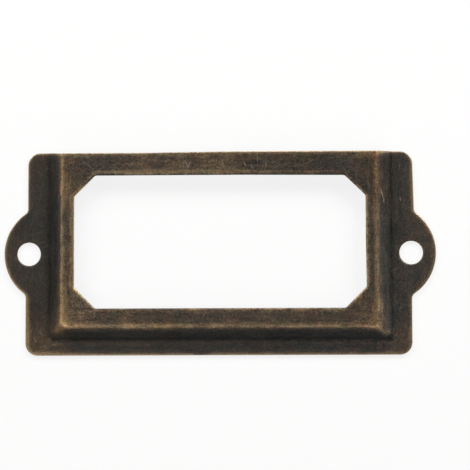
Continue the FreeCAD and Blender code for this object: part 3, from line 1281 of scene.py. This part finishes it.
def matt_paper(c):
    """Matt white paper for the floor: even and soft.

    Most of what the camera and the metal see of it is its own full white, so that the ground
    stays pale and still holds the holder's shadow.
    """
    material, tree, output = empty_material("matt_white_paper")
    paper = add(tree, "ShaderNodeBsdfDiffuse", Color=(*c, 1.0)).outputs[0]
    white = add(tree, "ShaderNodeEmission", Strength=1.0).outputs[0]
    ray = add(tree, "ShaderNodeLightPath").outputs
    seen = weighted_sum(tree, [(ray[name], share) for name, share in PAPER_WHITE.items()])
    mixed = add(tree, "ShaderNodeMixShader", in_0=seen, in_1=paper, in_2=white)
    tree.links.new(mixed.outputs[0], output.inputs["Surface"])
    return material


class OBJECT_OT_label_holder(Operator):
    """Make the pressed label holder in rubbed antique brass"""

    bl_idname = "object.label_holder"
    bl_label = "Label holder"

    def execute(self, context):
        p = holder_plan(context.scene.holder_sizes)
        points, faces = pressed_sheet(p)
        material = antique_brass(context.scene.holder_colours)
        holder = new_object("pressed_label_holder", points, faces, material)
        for name, values in wear(points, p, context.scene.holder_wear).items():
            store(holder.data, name, values)
        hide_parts("label_holder")
        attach(holder, "root")
        return {"FINISHED"}


def add_softbox(name, lean, bearing, power):
    """A square softbox that looks at the holder.

    It leans from straight up by one angle, towards a bearing counted from +X, both in degrees.
    """
    lamp = bpy.data.lights.new(name, "AREA")
    lamp.shape = "SQUARE"
    lamp.size = SOFTBOX_WIDTH
    lamp.energy = power
    turn = Euler((0, math.radians(lean), math.radians(bearing)), "XYZ")
    made = bpy.data.objects.new(name, lamp)
    made.rotation_euler = turn
    made.location = turn.to_matrix() @ Vector((0, 0, SOFTBOX_DISTANCE))
    bpy.context.scene.collection.objects.link(made)


class OBJECT_OT_label_holder_stage(Operator):
    """Make the floor, the soft lamps and the camera"""

    bl_idname = "object.label_holder_stage"
    bl_label = "Stage"

    def execute(self, context):
        s = context.scene.holder_stage
        half = s.floor_width / 2
        corners = [(-half, -half), (half, -half), (half, half), (-half, half)]
        points = np.array([(x, y, -FLOOR_GAP) for x, y in corners])
        floor = new_object("floor", points, np.array([[0, 1, 2, 3]]), matt_paper(s.floor_colour))
        floor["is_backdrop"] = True

        for name, lean, bearing, share in SOFTBOXES:
            add_softbox(name, lean, bearing, share * s.lamp_power)

        # The camera sees the room as pale as the far paper, while its light stays faint.
        world = bpy.data.worlds.new("soft_room")
        world.use_nodes = True
        tree = world.node_tree
        background = tree.nodes["Background"]
        background.inputs["Color"].default_value = (1.0, 1.0, 1.0, 1.0)
        seen = add(tree, "ShaderNodeLightPath").outputs["Is Camera Ray"]
        white = PAPER_WHITE["Is Camera Ray"]
        strength = add(
            tree, "ShaderNodeMapRange", Value=seen, To_Min=s.room_level, To_Max=white
        ).outputs[0]
        tree.links.new(strength, background.inputs["Strength"])
        context.scene.world = world

        # The view turns the holder by tilt, then pan, then roll, and stands straight above it.
        turned = Euler((s.view_tilt, s.view_pan, s.view_roll), "XYZ").to_matrix()
        camera_data = bpy.data.cameras.new("camera")
        camera_data.lens = camera_data.sensor_width * s.view_distance / s.view_width
        camera_data.shift_x = s.shift_x
        camera_data.shift_y = s.shift_y
        camera_data.clip_start = 0.01
        camera_data.clip_end = 20.0
        camera = bpy.data.objects.new("camera", camera_data)
        camera.rotation_euler = turned.transposed().to_euler()
        camera.location = turned.transposed() @ Vector((0, 0, s.view_distance))
        context.scene.collection.objects.link(camera)
        context.scene.camera = camera
        context.scene.view_settings.view_transform = "Standard"
        return {"FINISHED"}


class VIEW3D_PT_label_holder(Panel):
    """The settings of the holder and its stage, and the buttons that make them"""

    bl_idname = "VIEW3D_PT_label_holder"
    bl_label = "Drawer label holder"
    bl_space_type = "VIEW_3D"
    bl_region_type = "UI"
    bl_category = "Label holder"

    def draw(self, context):
        for operator, groups in PIECES:
            self.layout.operator(operator.bl_idname)
            column = self.layout.column()
            for group in groups:
                for name in group.__annotations__:
                    column.prop(getattr(context.scene, GROUPS[group]), name)


PIECES = (
    (OBJECT_OT_label_holder, (HolderSizes, HolderColours, HolderWear)),
    (OBJECT_OT_label_holder_stage, (StageSettings,)),
)
GROUPS = {
    HolderSizes: "holder_sizes",
    HolderColours: "holder_colours",
    HolderWear: "holder_wear",
    StageSettings: "holder_stage",
}
CLASSES = (*GROUPS, OBJECT_OT_label_holder, OBJECT_OT_label_holder_stage, VIEW3D_PT_label_holder)


def register():
    """Adds the classes, and their settings to the scene."""
    for made in CLASSES:
        bpy.utils.register_class(made)
    for group, name in GROUPS.items():
        setattr(bpy.types.Scene, name, PointerProperty(type=group))


def unregister():
    """Takes the settings and the classes away again."""
    for name in GROUPS.values():
        delattr(bpy.types.Scene, name)
    for made in reversed(CLASSES):
        bpy.utils.unregister_class(made)


def main():
    register()
    bpy.ops.object.label_holder()
    bpy.ops.object.label_holder_stage()
    bpy.context.view_layer.update()


if __name__ == "__main__":
    main()
